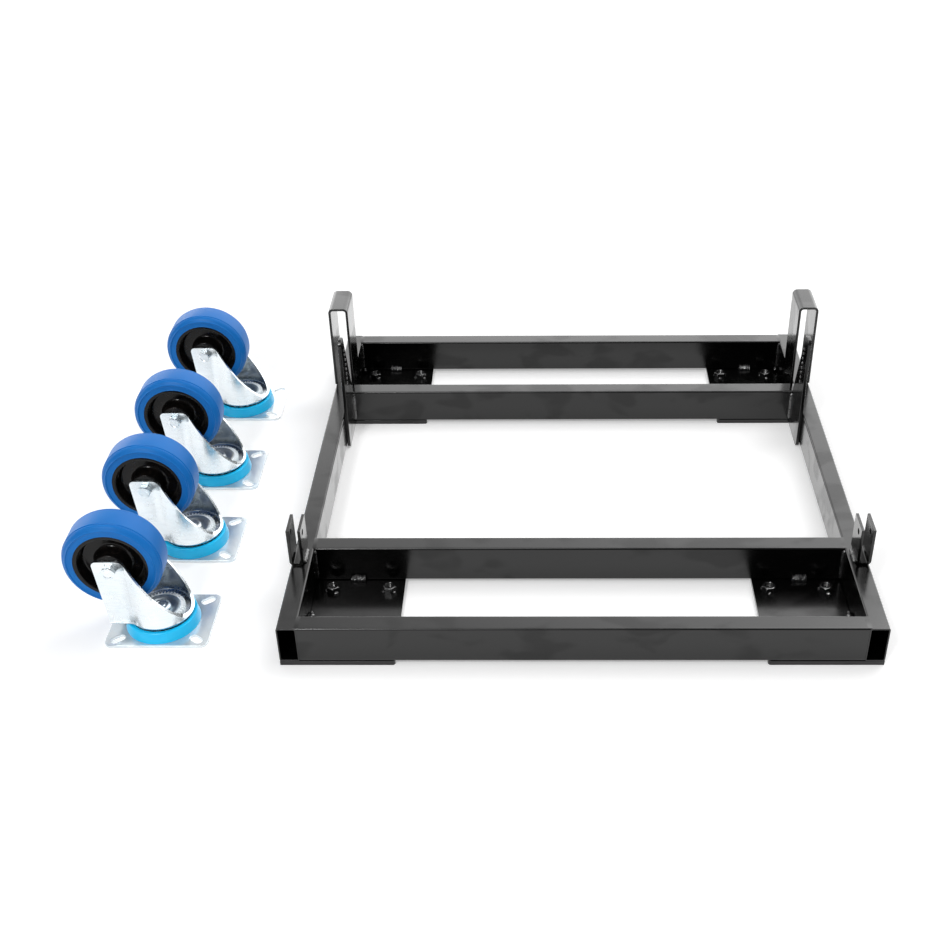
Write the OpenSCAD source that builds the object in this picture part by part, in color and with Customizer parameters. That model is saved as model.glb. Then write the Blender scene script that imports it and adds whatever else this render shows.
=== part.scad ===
// Low floor frame of welded rectangular tube that carries an engine unit, with its four swivel castors.
// +X is to the right and +Y to the back of the frame. The origin is the middle of the whole footprint, on the floor.

/* [Layout] */
// Castors standing loose beside the frame on their top plates, or bolted under its corners
castor_layout = "beside"; // [beside, mounted]

/* [Frame] */
// Width over the two side tubes
frame_w = 600; // [560:5:700]
// Depth from the front face to the back face
frame_d = 590; // [560:5:700]
// Width of the rectangular tube
tube_w = 20; // [18:1:30]
// Height of the rectangular tube
tube_h = 42; // [35:1:60]
// Wall of the rectangular tube
tube_wall = 1.5; // [1:0.5:1.5]
// Outside corner radius of the rectangular tube
tube_r = 2; // [2:0.5:4]
// Clear depth of the pockets behind the front tube
front_pocket = 106; // [100:0.5:130]
// Clear depth of the pockets in front of the back tube
rear_pocket = 107.5; // [100:0.5:130]

/* [Corner plates] */
// Width of a corner plate, from the frame's side
corner_w = 115; // [105:1:140]
// Thickness of a corner plate
corner_t = 5.5; // [5:0.5:8]
// Radius of the inner corners of a corner plate
corner_r = 3; // [1:1:15]
// Distance from the frame's side to the middle of a castor's bolts
bolt_inset = 69; // [62:1:72]
// Distance from the frame's front to the middle of a front castor's bolts
front_bolts_y = 68.5; // [68:0.5:75]
// Distance from the frame's back to the middle of a rear castor's bolts
rear_bolts_y = 79; // [68:0.5:80]
// Clearance hole for a castor bolt
bolt_hole = 9; // [8.5:0.5:10]
// Nominal thread of a castor bolt
bolt_d = 8; // [8:1:8]

/* [Rear hoops] */
// Height of a hoop above the tube
hoop_h = 107.5; // [80:0.5:140]
// Depth of the strip that a hoop is bent from
hoop_d = 50; // [30:1:60]
// Outside width of a hoop
hoop_w = 24; // [24:1:24]
// Thickness of the hoop's strip
hoop_t = 3; // [2:0.5:3]
// Outside radius of a hoop's bends
hoop_r = 6; // [4:0.5:8]
// How far the hoop's inner leg laps down the side tube
hoop_lap = 15; // [10:1:25]

/* [Rear ears] */
// Thickness of an ear
ear_t = 4; // [4:0.5:8]
// Depth of an ear at its foot
ear_foot = 55; // [40:1:60]
// Depth of an ear at its top
ear_top = 17; // [16:1:35]
// Height of an ear above the floor
ear_h = 150; // [110:1:160]

/* [Front clevises] */
// Height of a clevis above the tube
clevis_h = 44.5; // [35:0.5:60]
// Depth of a clevis
clevis_d = 30; // [24:1:36]
// Outside width of a clevis
clevis_w = 15; // [13:1:18]
// Thickness of the clevis strip
clevis_t = 3; // [2:0.5:4]
// Diameter of the pin hole through both ears of a clevis
pin_hole = 6.5; // [5:0.5:10]
// Distance from the top of a clevis to its pin hole
pin_drop = 9; // [8:1:16]
// Distance from the front of a clevis to its pin hole
pin_inset = 11; // [8:1:14]
// Front face of a clevis, from the frame's front
clevis_y = 98; // [80:1:105]

/* [Castors] */
// Wheel diameter
wheel_d = 100; // [100:1:100]
// Height of a castor, from its plate's mounting face to the tread
castor_h = 137; // [134:1:140]
// Length of a castor's plate
plate_l = 105; // [105:1:105]
// Width of a castor's plate
plate_w = 80; // [80:1:80]
// Thickness of a castor's plate and of its fork
sheet_t = 3; // [3:0.5:3]
// Spacing of the bolts along a castor's plate
bolt_long = 80; // [80:1:80]
// Spacing of the bolts across a castor's plate
bolt_short = 60; // [60:1:60]
// Trail, from the kingpin to the axle
trail = 36; // [34:1:38]
// Distance from the frame's side to the loose castors' kingpins
stand_off = 131.5; // [125:0.5:160]
// Distance from the frame's front to the first loose castor's kingpin
first_castor = 65; // [60:0.5:80]
// Spacing of the first three loose castors
castor_pitch = 137; // [130:0.5:160]
// Gap before the last loose castor
last_pitch = 152.5; // [130:0.5:160]

/* [Hidden] */
$fn = 48;
FRAME_NODES = ["side_tube_left", "side_tube_right", "cross_tube_front", "cross_tube_second", "cross_tube_third",
    "cross_tube_back", "corner_plate_front_left", "corner_plate_front_right", "corner_plate_rear_left",
    "corner_plate_rear_right", "hoop_left", "hoop_right", "ear_left", "ear_right", "clevis_left", "clevis_right",
    "weld_beads", "weld_nuts", "swivel_balls"];
CASTOR_PIECES = ["plate", "kingpin", "seal", "race", "fork", "axle", "spacer", "tyre", "rim", "bearing"];

black = "#1d1e20";
zinc = "#c9cdd2";
tyre_blue = "#2c6fc4";
seal_blue = "#1ea7ea";

tube_z = corner_t;
tube_top = tube_z + tube_h;
second_y = tube_w + front_pocket;
third_y = frame_d - 2 * tube_w - rear_pocket;
inner_x = frame_w / 2 - tube_w;
bolt_x = frame_w / 2 - bolt_inset;
// For either end: the corner plates' front edge, their back edge, and the middle of their castors' bolts
plate_ends = [[0, second_y + tube_w, front_bolts_y], [third_y, frame_d, frame_d - rear_bolts_y]];
// Brackets stand this far outside the side tubes
overhang = 1;
// A rounding's arc is this much too large, so that it crosses the edges cleanly and doesn't just touch them
cross_by = 0.01;
bracket_x = frame_w / 2 + overhang;
ear_foot_r = 6;
ear_back_r = 4;
ear_elbow_r = 20;
ear_top_r = 8;
clevis_r = 5;
nut_af = 13;
nut_h = 6.8;
bead_r = 3;
plate_bead_r = 4.5;

// Heights inside a castor, from its mounting face
hill_z = 10.2;
ball_z = 12.6;
ball_r = 3;
ball_row_r = 26;
groove_gap = 0.15;
fork_z = 15;
fork_top = fork_z + sheet_t;
low_ball_r = 2;
low_row_r = 18;
low_ball_z = fork_top + 0.3;
race_z = low_ball_z + 0.5;
race_h = 2.2;
race_teeth = 36;
pin_r = 6;
collar_r = 8;
running_gap = 0.05;
thread_gap = 0.02;

// Fork outline: a round base that blends into two parallel legs. Its centre, the axis of a blend and
// the blend's end on the leg make a 3-4-5 triangle.
base_r = 33.5;
leg_y = 23.5;
blend_r = 16.5;
press_r = 5;
blend_y = leg_y + blend_r;
blend_x = -sqrt(pow(base_r + blend_r, 2) - pow(blend_y, 2));
axle_z = castor_h - wheel_d / 2;
tail_x = -trail - 17;
leg_top = 97.5;
axle_r = 4;
spacer_r = 6;
tyre_w = 36;
rim_r = 37.5;
hub_r = 15.5;
bearing_r = 10;
bearing_w = 38;
hub_w = 40;

castor_x = -frame_w / 2 - stand_off;
// How much nearer to the frame each loose castor stands than the first one
castor_steps = [0, 2, 2, 4];
foot_left = castor_x - trail - wheel_d / 2;
mounted = castor_layout == "mounted";
foot_x = mounted ? 0 : (bracket_x + foot_left) / 2;
foot_y = frame_d / 2;
lift = mounted ? castor_h : 0;

function unit(v) = v / norm(v);
function loose_y(n) = first_castor + (n - 1) * castor_pitch + (n == 4 ? last_pitch - castor_pitch : 0);
function side_of(n) = n % 2 == 1 ? -1 : 1;

// Rectangle with round corners, from its lower left corner
module rounded_rect(size, r) {
    translate([r, 0]) square([size.x - 2 * r, size.y]);
    translate([0, r]) square([size.x, size.y - 2 * r]);
    for (x = [r, size.x - r], y = [r, size.y - r]) translate([x, y]) circle(r);
}

// Polygon whose outward corners are rounded, each with its own radius, or left sharp where that is 0
module rounded_outline(points, radii) {
    n = len(points);
    difference() {
        polygon(points);
        for (i = [0:n - 1]) if (radii[i] > 0)
            corner_waste(points[(i + n - 1) % n], points[i], points[(i + 1) % n], radii[i]);
    }
}

// What a rounding of radius r takes off the corner q, between its edges to p and to s
module corner_waste(p, q, s, r) {
    back = unit(p - q);
    ahead = unit(s - q);
    inward = unit(back + ahead);
    half = acos(back * ahead) / 2;
    difference() {
        polygon([q + back * r / tan(half), q - inward, q + ahead * r / tan(half)]);
        translate(q + inward * r / sin(half)) circle(r + cross_by);
    }
}

// Ring of circular section round the Z axis
module ring(row_r, z, r) {
    rotate_extrude($fn = 96) translate([row_r, z]) circle(r, $fn = 32);
}

// Puts a piece of the frame in its place; y = 0 is the frame's front face
module on_frame() {
    translate([-foot_x, -foot_y, lift]) children();
}

// Copies a left-hand bracket's shape to the side named
module on_side(side) {
    on_frame() if (side == "left") children(); else mirror([1, 0, 0]) children();
}

// Puts a castor's piece in its place. A castor is drawn upside down on its plate, its wheel trailing to -X.
module on_castor(n) {
    on_frame() if (mounted)
        translate([side_of(n) * bolt_x, plate_ends[n <= 2 ? 0 : 1][2], 0]) rotate([180, 0, 90]) children();
    else
        translate([castor_x + castor_steps[n - 1], loose_y(n), 0]) children();
}

/* ---- frame ---- */

// Tube along Y, from the origin, its section's corner at x = 0, z = 0
module tube(length) {
    translate([0, length, 0]) rotate([90, 0, 0]) linear_extrude(length) difference() {
        rounded_rect([tube_w, tube_h], tube_r);
        translate([tube_wall, tube_wall])
            rounded_rect([tube_w - 2 * tube_wall, tube_h - 2 * tube_wall], tube_r - tube_wall);
    }
}

module side_tube(side) {
    color(black) on_side(side) translate([-frame_w / 2, 0, tube_z]) tube(frame_d);
}

module cross_tube(y) {
    color(black) on_frame() translate([-inner_x, y + tube_w, tube_z]) rotate([0, 0, -90]) tube(2 * inner_x);
}

// Plate under a corner, with clearance holes for a castor's bolts
module corner_plate(side, end) {
    left = -frame_w / 2;
    right = left + corner_w;
    color(black) on_side(side) difference() {
        linear_extrude(corner_t) rounded_outline([[left, end[0]], [right, end[0]], [right, end[1]], [left, end[1]]],
            [0, corner_r, corner_r, 0]);
        bolt_places(end) translate([0, 0, -1]) cylinder(h = corner_t + 2, d = bolt_hole);
    }
}

// The four bolt places of one left-hand corner
module bolt_places(end) {
    for (x = [-1, 1], y = [-1, 1])
        translate([-bolt_x + x * bolt_short / 2, end[2] + y * bolt_long / 2, 0]) children();
}

module weld_nuts() {
    color(black) for (side = ["left", "right"], end = plate_ends) on_side(side) translate([0, 0, corner_t])
        bolt_places(end) difference() {
            cylinder(h = nut_h, d = nut_af / cos(30), $fn = 6);
            translate([0, 0, -1]) cylinder(h = nut_h + 2, d = bolt_d);
        }
}

// Inverted U of flat strip: the outer leg stands on the side tube, the inner one laps down its side
module hoop(side) {
    foot_z = tube_top - hoop_lap;
    top_z = tube_top + hoop_h;
    color(black) on_side(side) translate([-bracket_x, third_y + tube_w + hoop_d, 0]) rotate([90, 0, 0])
        linear_extrude(hoop_d) difference() {
            union() {
                translate([0, tube_top]) square([hoop_w, hoop_h - hoop_r]);
                translate([hoop_w - hoop_t, foot_z]) square([hoop_t, hoop_lap + 1]);
                translate([hoop_r, tube_top]) square([hoop_w - 2 * hoop_r, hoop_h]);
                for (x = [hoop_r, hoop_w - hoop_r]) translate([x, top_z - hoop_r]) circle(hoop_r);
            }
            translate([hoop_t, foot_z - 1]) square([hoop_w - 2 * hoop_t, top_z - foot_z + 1 - hoop_r]);
            translate([hoop_r, foot_z]) square([hoop_w - 2 * hoop_r, top_z - foot_z - hoop_t]);
            for (x = [hoop_r, hoop_w - hoop_r]) translate([x, top_z - hoop_r]) circle(hoop_r - hoop_t);
        }
}

// Flat bar in front of the third tube, straight in front and drawn in at the back above the tubes
module ear(side) {
    front = third_y - ear_foot;
    color(black) on_side(side) translate([-inner_x, 0, 0]) rotate([90, 0, 90]) linear_extrude(ear_t)
        rounded_outline([[front, 0], [third_y, 0], [third_y, tube_top], [front + ear_top, ear_h], [front, ear_h]],
            [ear_foot_r, ear_back_r, ear_elbow_r, ear_top_r, ear_top_r]);
}

// Upright U of flat strip with a pin hole through both ears
module clevis(side) {
    foot_z = tube_top;
    top_z = tube_top + clevis_h;
    color(black) on_side(side) difference() {
        translate([-bracket_x, clevis_y + clevis_d, 0]) rotate([90, 0, 0]) linear_extrude(clevis_d) difference() {
            union() {
                translate([0, foot_z + clevis_r]) square([clevis_w, clevis_h - clevis_r]);
                translate([clevis_r, foot_z]) square([clevis_w - 2 * clevis_r, clevis_h]);
                for (x = [clevis_r, clevis_w - clevis_r]) translate([x, foot_z + clevis_r]) circle(clevis_r);
            }
            translate([clevis_t, foot_z + clevis_r]) square([clevis_w - 2 * clevis_t, clevis_h]);
            translate([clevis_r, foot_z + clevis_t]) square([clevis_w - 2 * clevis_r, clevis_h]);
            for (x = [clevis_r, clevis_w - clevis_r])
                translate([x, foot_z + clevis_r]) circle(clevis_r - clevis_t);
        }
        translate([-bracket_x - 1, clevis_y + pin_inset, top_z - pin_drop]) rotate([0, 90, 0])
            cylinder(h = clevis_w + 2, d = pin_hole);
    }
}

// Quarter-round bead of weld along Z, filling the corner between the planes x = 0 and y = 0
module bead(length, r = bead_r) {
    linear_extrude(length) intersection() {
        circle(r);
        square(r);
    }
}

// Weld along the foot of a left-hand clevis, in the groove that its bend leaves over the tube
module clevis_bead() {
    x = -bracket_x + clevis_w;
    translate([0, clevis_y + clevis_d - 4, tube_top]) rotate([90, 0, 0]) linear_extrude(clevis_d - 8) difference() {
        translate([x - 0.5, 0]) circle(bead_r);
        translate([x - clevis_r, clevis_r]) circle(clevis_r);
        translate([x - 10, -10]) square([20, 10]);
    }
}

module weld_beads() {
    run = tube_h - 2 * tube_r;
    plate_run = 17;
    low = tube_z + tube_r;
    color(black) for (side = ["left", "right"]) on_side(side) {
        for (y = [tube_w, second_y + tube_w]) translate([-inner_x, y, low]) bead(run);
        for (y = [second_y, frame_d - tube_w]) {
            translate([-inner_x, y, low]) rotate([0, 0, -90]) bead(run);
            translate([-bolt_x - 4.5 - plate_run / 2, y, tube_z]) rotate([0, 90, 0]) rotate([0, 0, 180])
                bead(plate_run, plate_bead_r);
        }
        translate([-inner_x + ear_t, third_y, low]) rotate([0, 0, -90]) bead(run);
        clevis_bead();
    }
}

/* ---- castors: drawn about the kingpin, the mounting face at z = 0 ---- */

// Pressed plate: four diagonal slots, and a hill round the kingpin that carries the upper balls
module castor_plate(n) {
    slot_l = 15.5;
    diagonal = atan2(bolt_short, bolt_long);
    color(zinc) on_castor(n) difference() {
        union() {
            translate([-plate_l / 2, -plate_w / 2, 0]) linear_extrude(sheet_t) rounded_rect([plate_l, plate_w], 7);
            rotate_extrude($fn = 96) polygon([[0, 1], [34, 1], [34, sheet_t], [30.5, hill_z], [21.5, hill_z],
                [18, 6], [0, 6]]);
        }
        rotate_extrude($fn = 96) polygon([[0, -1], [31, -1], [31, 0], [27.5, hill_z - 4.5], [24.5, hill_z - 4.5],
            [21, sheet_t], [0, sheet_t]]);
        cylinder(h = 20, r = pin_r);
        ring(ball_row_r, ball_z, ball_r + groove_gap);
        for (x = [-1, 1], y = [-1, 1]) translate([x * bolt_long / 2, y * bolt_short / 2, -1])
            rotate([0, 0, x * y * diagonal]) linear_extrude(sheet_t + 2) {
                square([slot_l - bolt_hole, bolt_hole], center = true);
                for (s = [-1, 1]) translate([s * (slot_l - bolt_hole) / 2, 0]) circle(d = bolt_hole);
            }
    }
}

// Riveted kingpin: flat head in the plate's recess, a collar that the fork turns on, a domed end
module castor_kingpin(n) {
    end_z = race_z + race_h;
    color(zinc) on_castor(n) rotate_extrude($fn = 96) polygon([[0, 0.4], [14, 0.4], [15, 1.2], [15, sheet_t],
        [pin_r, sheet_t], [pin_r, 6], [collar_r, 6], [collar_r, race_z], [pin_r, race_z], [pin_r, end_z],
        [10, end_z], [9.2, end_z + 1.4], [6, end_z + 2.1], [0, end_z + 2.3]]);
}

// Ring that keeps dirt out of the swivel bearing
module castor_seal(n) {
    color(seal_blue) on_castor(n) rotate_extrude($fn = 96) polygon([[36.2, sheet_t], [38, sheet_t],
        [35.6, fork_z - 1], [35, fork_z - 0.5], [31.5, fork_z - 0.5], [31.5, fork_z - 1.7],
        [34.2, fork_z - 1.9]]);
}

// Cup that holds the lower balls down on the fork; its turned-down edge is cut into small teeth
module castor_race(n) {
    skirt_z = fork_top + 0.3;
    color(zinc) on_castor(n) difference() {
        rotate_extrude($fn = 96) polygon([[pin_r, race_z], [21.2, race_z], [21.8, skirt_z], [24.5, skirt_z],
            [24.5, skirt_z + 1], [22.4, race_z + race_h], [pin_r, race_z + race_h]]);
        ring(low_row_r, low_ball_z, low_ball_r + groove_gap);
        for (i = [0:race_teeth - 1]) rotate([0, 0, (i + 0.5) * 360 / race_teeth])
            translate([22.7, -0.9, skirt_z - 1]) cube([4, 1.8, 8]);
    }
}

// One row of balls
module ball_row(count, row_r, z, r) {
    for (i = [0:count - 1]) rotate([0, 0, (i + 0.25) * 360 / count]) translate([row_r, 0, z]) sphere(r, $fn = 24);
}

module swivel_balls() {
    color(zinc) for (n = [1:4]) on_castor(n) {
        ball_row(20, ball_row_r, ball_z, ball_r);
        ball_row(22, low_row_r, low_ball_z, low_ball_r);
    }
}

// Half of a section whose lower outer corner is pressed round; x is the distance from the middle
module pressed_half(half, r, height) {
    square([half - r, height]);
    translate([0, r]) square([half, height - r]);
    translate([half - r, r]) circle(r);
}

// The fork's outside when inset is 0, and its inside when inset is the sheet's thickness.
// A round base, two legs, and between them blends turned about an axis beside each leg, all face to face.
module fork_form(inset) {
    r = press_r - inset;
    hollow = blend_r + inset;
    height = castor_h;
    translate([0, 0, fork_z + inset]) {
        difference() {
            rotate_extrude($fn = 96) pressed_half(base_r - inset, r, height);
            translate([0, 0, -1]) linear_extrude(height + 2)
                polygon([[0, 0], 2 * [blend_x, blend_y], 2 * [blend_x, -blend_y]]);
        }
        for (s = [0, 1]) mirror([0, s, 0]) {
            translate([blend_x, 0, 0]) rotate([90, 0, -90]) linear_extrude(blend_x - tail_x + 1)
                pressed_half(leg_y - inset, r, height);
            difference() {
                linear_extrude(height) polygon([[0, 0], [blend_x, blend_y], [blend_x, 0]]);
                translate([blend_x, blend_y, 0]) rotate_extrude($fn = 96) difference() {
                    translate([0, -1]) square([hollow + r, height + 2]);
                    translate([hollow, r]) square([r + 1, height + 2]);
                    translate([hollow + r, r]) circle(r);
                }
            }
        }
    }
}

// Side view of the fork: x along the trail and z up
module fork_profile() {
    foot_z = fork_z - 1;
    rounded_outline([[tail_x + 7, foot_z], [base_r + 1, foot_z], [base_r + 1, fork_top], [31, fork_top + 1.5],
        [27, fork_top + 5], [4, fork_top + 38.5], [-20, leg_top], [tail_x, leg_top]], [0, 0, 0, 0, 0, 0, 8, 5]);
}

// Fork pressed from one sheet: two legs that blend into a round base
module castor_fork(n) {
    color(zinc) on_castor(n) difference() {
        intersection() {
            difference() {
                fork_form(0);
                fork_form(sheet_t);
            }
            translate([0, 50, 0]) rotate([90, 0, 0]) linear_extrude(100) fork_profile();
        }
        cylinder(h = 30, r = collar_r + running_gap);
        ring(ball_row_r, ball_z, ball_r + groove_gap);
        ring(low_row_r, low_ball_z, low_ball_r + groove_gap);
        translate([-trail, 50, axle_z]) rotate([90, 0, 0]) cylinder(h = 100, r = axle_r);
    }
}

// Puts a round piece on the axle, drawn along Z and centred there
module on_axle(n) {
    on_castor(n) translate([-trail, 0, axle_z]) rotate([90, 0, 0]) children();
}

// Bolt through both legs, its head on the near leg and its nut on the far one
module castor_axle(n) {
    head_h = 5.3;
    shank_end = leg_y + nut_h + 3;
    color(zinc) on_axle(n) {
        translate([0, 0, -shank_end]) cylinder(h = shank_end + leg_y, r = axle_r);
        translate([0, 0, leg_y]) cylinder(h = head_h, d = nut_af / cos(30), $fn = 6);
        translate([0, 0, -leg_y - nut_h]) difference() {
            cylinder(h = nut_h, d = nut_af / cos(30), $fn = 6);
            translate([0, 0, -1]) cylinder(h = nut_h + 2, r = axle_r + thread_gap);
        }
    }
}

// Tube that the wheel turns on, clamped between the legs
module castor_spacer(n) {
    inside = leg_y - sheet_t;
    color(zinc) on_axle(n) translate([0, 0, -inside]) difference() {
        cylinder(h = 2 * inside, r = spacer_r);
        translate([0, 0, -1]) cylinder(h = 2 * inside + 2, r = axle_r);
    }
}

// Elastic tyre: flat tread and full, rounded shoulders
module castor_tyre(n) {
    r = wheel_d / 2;
    half = tyre_w / 2;
    tread = half - 7;
    color(tyre_blue) on_axle(n) rotate_extrude($fn = 128) polygon([[rim_r, -half], [r - 6.5, -half],
        [r - 5.1, -half + 0.5], [r - 2, -half + 3.4], [r - 0.4, -tread - 1], [r, -tread], [r, tread],
        [r - 0.4, tread + 1], [r - 2, half - 3.4], [r - 5.1, half - 0.5], [r - 6.5, half], [rim_r, half]]);
}

// Nylon rim: outer band, recessed web, hub
module castor_rim(n) {
    half = tyre_w / 2 - 0.6;
    web = 5;
    color(black) on_axle(n) rotate_extrude($fn = 128) polygon(concat(
        [for (s = [-1, 1]) each s < 0
            ? [[bearing_r, -hub_w / 2], [hub_r - 1, -hub_w / 2], [hub_r, -hub_w / 2 + 1], [hub_r + 1, -web - 2],
               [hub_r + 4, -web], [rim_r - 10, -web], [rim_r - 8, -web - 2], [rim_r - 7, -half + 1.5],
               [rim_r - 6, -half], [rim_r, -half]]
            : [[rim_r, half], [rim_r - 6, half], [rim_r - 7, half - 1.5], [rim_r - 8, web + 2],
               [rim_r - 10, web], [hub_r + 4, web], [hub_r + 1, web + 2], [hub_r, hub_w / 2 - 1],
               [hub_r - 1, hub_w / 2], [bearing_r, hub_w / 2]]]));
}

// Roller bearing pressed into the hub, drawn as its closed cage
module castor_bearing(n) {
    color(zinc) on_axle(n) translate([0, 0, -bearing_w / 2]) difference() {
        cylinder(h = bearing_w, r = bearing_r);
        translate([0, 0, -1]) cylinder(h = bearing_w + 2, r = spacer_r + running_gap);
    }
}

side_tube("left");  // side_tube_left
side_tube("right");  // side_tube_right
cross_tube(0);  // cross_tube_front
cross_tube(second_y);  // cross_tube_second
cross_tube(third_y);  // cross_tube_third
cross_tube(frame_d - tube_w);  // cross_tube_back
corner_plate("left", plate_ends[0]);  // corner_plate_front_left
corner_plate("right", plate_ends[0]);  // corner_plate_front_right
corner_plate("left", plate_ends[1]);  // corner_plate_rear_left
corner_plate("right", plate_ends[1]);  // corner_plate_rear_right
hoop("left");  // hoop_left
hoop("right");  // hoop_right
ear("left");  // ear_left
ear("right");  // ear_right
clevis("left");  // clevis_left
clevis("right");  // clevis_right
weld_beads();
weld_nuts();
swivel_balls();
for (n = [1:4]) {
    castor_plate(n);
    castor_kingpin(n);
    castor_seal(n);
    castor_race(n);
    castor_fork(n);
    castor_axle(n);
    castor_spacer(n);
    castor_tyre(n);
    castor_rim(n);
    castor_bearing(n);
}
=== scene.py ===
import bmesh
import bpy
import numpy as np
from mathutils import Matrix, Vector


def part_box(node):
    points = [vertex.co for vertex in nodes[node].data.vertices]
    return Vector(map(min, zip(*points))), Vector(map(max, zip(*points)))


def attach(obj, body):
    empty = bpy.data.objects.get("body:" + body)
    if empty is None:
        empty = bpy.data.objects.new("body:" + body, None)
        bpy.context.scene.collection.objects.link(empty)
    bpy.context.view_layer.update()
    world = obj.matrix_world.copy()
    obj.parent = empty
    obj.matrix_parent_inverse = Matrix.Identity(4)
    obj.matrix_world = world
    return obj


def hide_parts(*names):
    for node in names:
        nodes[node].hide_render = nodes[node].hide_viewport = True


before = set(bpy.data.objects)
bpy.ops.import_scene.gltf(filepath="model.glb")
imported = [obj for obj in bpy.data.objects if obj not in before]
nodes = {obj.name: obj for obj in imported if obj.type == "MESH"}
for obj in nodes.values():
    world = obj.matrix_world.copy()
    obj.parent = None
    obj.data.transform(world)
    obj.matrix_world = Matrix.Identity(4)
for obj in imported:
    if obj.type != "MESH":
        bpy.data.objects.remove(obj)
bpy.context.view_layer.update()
mm = 0.001
tau = 2 * np.pi
print("frame loaded,", len(nodes), "nodes")


def unit(vectors):
    return vectors / np.maximum(np.linalg.norm(vectors, axis=-1, keepdims=True), 1e-9)


def added(name, data):  # a new object in the scene
    made = bpy.data.objects.new(name, data)
    bpy.context.scene.collection.objects.link(made)
    return made


def placed(axes, place):  # the matrix of an object whose own X, Y and Z point along the three axes
    matrix = np.eye(4)
    matrix[:3, :3] = np.array(axes).T
    matrix[:3, 3] = place
    return Matrix(matrix.tolist())


# materials as expressions

class Value:
    # one output of a node; sums and products of it add Math nodes
    def __init__(self, finish, socket):
        self.finish, self.socket = finish, socket

    def maths(self, operation, first, second=0.0):
        return self.finish.node("ShaderNodeMath", {"operation": operation}, {0: first, 1: second})

    def __add__(self, other):
        return self.maths("ADD", self, other)

    def __sub__(self, other):
        return self.maths("SUBTRACT", self, other)

    def __rsub__(self, other):
        return self.maths("SUBTRACT", other, self)

    def __mul__(self, other):
        return self.maths("MULTIPLY", self, other)

    def __pow__(self, other):
        return self.maths("POWER", self, other)

    __radd__, __rmul__ = __add__, __mul__

    def ramp(self, low, high, fromLow=0.0, fromHigh=1.0):  # smooth step between two limits
        links = {0: self, 1: low, 2: high, 3: fromLow, 4: fromHigh}
        return self.finish.node("ShaderNodeMapRange", {"interpolation_type": "SMOOTHSTEP"}, links)


class Finish:
    # a material's node tree, or the room's
    def __init__(self, name, tree=None):
        if tree is None:
            self.material = bpy.data.materials.new(name)
            self.material.use_nodes = True
            tree = self.material.node_tree
        tree.nodes.clear()
        self.tree = tree

    def node(self, kind, settings, sockets, output=0):
        made = self.tree.nodes.new(kind)
        for key, value in settings.items():
            setattr(made, key, value)
        for key, value in sockets.items():
            if isinstance(value, Value):
                self.tree.links.new(value.socket, made.inputs[key])
            else:
                made.inputs[key].default_value = value
        return Value(self, made.outputs[output]) if made.outputs else made

    def place(self, scale=(1, 1, 1)):  # the spot on the piece, stretched along its axes
        spot = self.node("ShaderNodeTexCoord", {}, {}, "Object")
        return self.node("ShaderNodeMapping", {}, {"Vector": spot, "Scale": scale})

    def noise(self, where, scale, detail=2.0, rough=0.5, twist=0.0):
        links = {"Vector": where, "Scale": scale, "Detail": detail, "Roughness": rough,
                 "Distortion": twist}
        return self.node("ShaderNodeTexNoise", {}, links)

    def cells(self, where, scale):
        return self.node("ShaderNodeTexVoronoi", {}, {"Vector": where, "Scale": scale})

    def blend(self, factor, first, second):  # from the first colour to the second
        links = {0: factor, 6: (*first, 1) if isinstance(first, tuple) else first}
        links[7] = (*second, 1) if isinstance(second, tuple) else second
        return self.node("ShaderNodeMix", {"data_type": "RGBA"}, links, 2)

    def bump(self, height, depth, strength):
        links = {"Height": height, "Distance": depth, "Strength": strength}
        return self.node("ShaderNodeBump", {}, links)

    def skin(self, **sockets):
        names = {"colour": "Base Color", "rough": "Roughness", "metal": "Metallic", "normal": "Normal",
                 "ior": "IOR", "coat": "Coat Weight", "coatRough": "Coat Roughness",
                 "specular": "Specular IOR Level"}
        links = {names[key]: value for key, value in sockets.items()}
        surface = self.node("ShaderNodeBsdfPrincipled", {}, links)
        self.node("ShaderNodeOutputMaterial", {}, {"Surface": surface})
        return self.material


# camera, light and floor

camera = {
    "place": (0.06745, -1.2486, 0.9022),  # metres
    "down": 33.45,  # degrees, as the next two
    "turn": -0.92,
    "roll": -0.64,
    "lens": 49.26,
    "shift": (-0.0499, -0.0401),
    "farthest": 50,
}


def makeCamera():
    down, turn, roll = (np.radians(camera[key]) for key in ("down", "turn", "roll"))
    ahead = np.array([np.sin(turn) * np.cos(down), np.cos(turn) * np.cos(down), -np.sin(down)])
    level = np.array([np.cos(turn), -np.sin(turn), 0])
    above = np.cross(level, ahead)
    right = level * np.cos(roll) + above * np.sin(roll)
    up = above * np.cos(roll) - level * np.sin(roll)
    data = bpy.data.cameras.new("camera")
    data.lens = camera["lens"]
    data.shift_x, data.shift_y = camera["shift"]
    data.clip_end = camera["farthest"]
    made = added("camera", data)
    made.matrix_world = placed([right, up, -ahead], camera["place"])
    bpy.context.scene.camera = made


room = {
    "sky": 0.50,  # strength as a lamp
    "gloss": {"left": 0.36, "right": 3.9, "low": 3.45, "front": 0.30},  # strengths that gloss mirrors
    "fades": {"across": (-0.42, 0.36), "down": (0.72, 0.40), "back": (-0.1, 0.35)},  # where those meet
    "window": {"toward": (-0.30, -0.42, 0.86), "edge": (0.915, 0.955), "strength": 5.0},
}


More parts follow.
